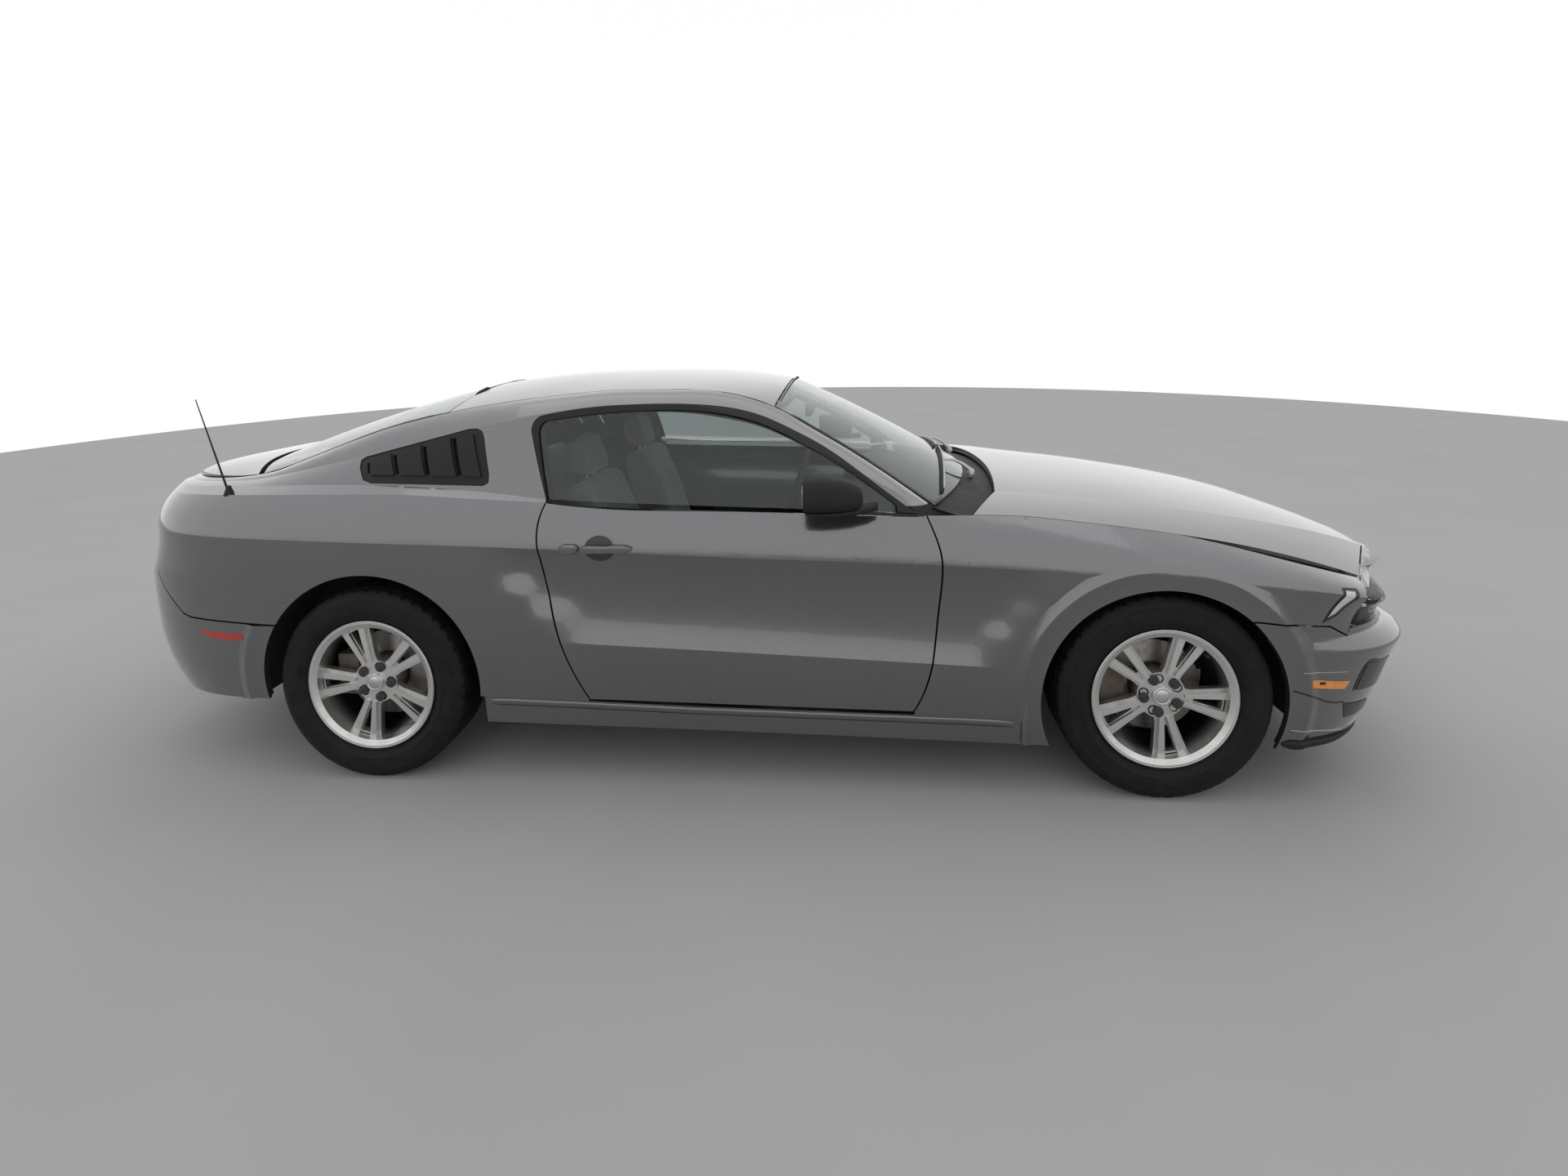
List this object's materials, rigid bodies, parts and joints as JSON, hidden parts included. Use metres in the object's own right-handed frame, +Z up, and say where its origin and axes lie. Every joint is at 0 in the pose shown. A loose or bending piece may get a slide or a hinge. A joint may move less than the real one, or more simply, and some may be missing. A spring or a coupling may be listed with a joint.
{
  "type": "coupe car",
  "caption": "Two-door coupe car with opening doors, hood and boot lid, steered front wheels and free-rolling alloy wheels.",
  "frame": {"origin": "centre of the bounding box on the floor", "axes": "+X towards the nose, +Y to the car's left, +Z up"},
  "size_m": [4.7898, 2.01, 1.4119],
  "materials": {
    "black_trim": "satin",
    "cast_metal": "raw",
    "exhaust_metal": "polished tip",
    "glass": "clear",
    "interior_plastic": "grained",
    "lamp_amber": "gloss",
    "lamp_clear": "clear",
    "lamp_red": "gloss",
    "paint": "metallic gloss paint",
    "seat_cloth": "woven",
    "tyre": "matte",
    "underbody": "satin",
    "wheel_metal": "painted silver"
  },
  "bodies": {
    "root": {"aerial": "black_trim", "cowl_panel": "black_trim", "dashboard": "interior_plastic", "exhaust": "exhaust_metal", "fender_left": "paint", "fender_right": "paint", "firewall": "underbody", "floor_pan": "underbody", "front_bumper": "paint", "front_frame": "underbody", "front_markers": "lamp_amber", "front_seats": "seat_cloth", "front_wheelhouses": "underbody", "grille": "black_trim", "headlamps": "lamp_clear", "nose_panel": "paint", "powertrain": "cast_metal", "quarter_louvres": "black_trim", "quarter_panel_left": "paint", "quarter_panel_right": "paint", "rear_axle": "cast_metal", "rear_bumper": "paint", "rear_floor": "underbody", "rear_markers": "lamp_red", "rear_seat": "seat_cloth", "rear_wheelhouses": "underbody", "rear_window": "glass", "roof_panel": "paint", "sills": "paint", "tail_lamps": "lamp_red", "tail_panel": "black_trim", "window_seals": "black_trim", "windshield": "glass"},
    "door_left": {"door_left": "paint", "door_glass_left": "glass", "door_mirror_left": "black_trim"},
    "door_right": {"door_right": "paint", "door_glass_right": "glass", "door_mirror_right": "black_trim"},
    "hood": {"hood": "paint"},
    "deck_lid": {"deck_lid": "paint"},
    "knuckle_left": {"knuckle_left": "cast_metal"},
    "knuckle_right": {"knuckle_right": "cast_metal"},
    "wheel_front_left": {"wheel_front_left": "wheel_metal", "tyre_front_left": "tyre"},
    "wheel_front_right": {"wheel_front_right": "wheel_metal", "tyre_front_right": "tyre"},
    "wheel_rear_left": {"wheel_rear_left": "wheel_metal", "tyre_rear_left": "tyre"},
    "wheel_rear_right": {"wheel_rear_right": "wheel_metal", "tyre_rear_right": "tyre"},
    "steering_wheel": {"steering_wheel": "interior_plastic"}
  },
  "joints": [
    {"name": "door_left_hinge", "type": "hinge", "parent": "root", "child": "door_left", "pos_m": [0.6, 0.885, 0.6], "axis": [0, 0, -1], "range_deg": [0, 65]},
    {"name": "door_right_hinge", "type": "hinge", "parent": "root", "child": "door_right", "pos_m": [0.6, -0.885, 0.6], "axis": [0, 0, 1], "range_deg": [0, 65]},
    {"name": "hood_hinge", "type": "hinge", "parent": "root", "child": "hood", "pos_m": [0.8, 0, 0.94], "axis": [0, -1, 0], "range_deg": [0, 50]},
    {"name": "deck_lid_hinge", "type": "hinge", "parent": "root", "child": "deck_lid", "pos_m": [-1.85, 0, 1.06], "axis": [0, 1, 0], "range_deg": [0, 65]},
    {"name": "steer_left", "type": "hinge", "parent": "root", "child": "knuckle_left", "pos_m": [1.423, 0.637, 0.345], "axis": [0, 0, 1], "range_deg": [-32, 32]},
    {"name": "steer_right", "type": "hinge", "parent": "root", "child": "knuckle_right", "pos_m": [1.423, -0.637, 0.345], "axis": [0, 0, 1], "range_deg": [-32, 32]},
    {"name": "steering_wheel_turn", "type": "hinge", "parent": "root", "child": "steering_wheel", "pos_m": [0.153, 0.37, 0.808], "axis": [-0.9336, 0, 0.3584], "range_deg": [-485, 485]},
    {"name": "wheel_front_left_spin", "type": "hinge", "parent": "knuckle_left", "child": "wheel_front_left", "pos_m": [1.423, 0.789, 0.345], "axis": [0, 1, 0], "continuous": true},
    {"name": "wheel_front_right_spin", "type": "hinge", "parent": "knuckle_right", "child": "wheel_front_right", "pos_m": [1.423, -0.789, 0.345], "axis": [0, 1, 0], "continuous": true},
    {"name": "wheel_rear_left_spin", "type": "hinge", "parent": "root", "child": "wheel_rear_left", "pos_m": [-1.297, 0.796, 0.345], "axis": [0, 1, 0], "continuous": true},
    {"name": "wheel_rear_right_spin", "type": "hinge", "parent": "root", "child": "wheel_rear_right", "pos_m": [-1.297, -0.796, 0.345], "axis": [0, 1, 0], "continuous": true}
  ],
  "couplings": [
    {"joint": "steer_right", "follows": "steer_left", "ratio": 1},
    {"joint": "steering_wheel_turn", "follows": "steer_left", "ratio": 15}
  ]
}
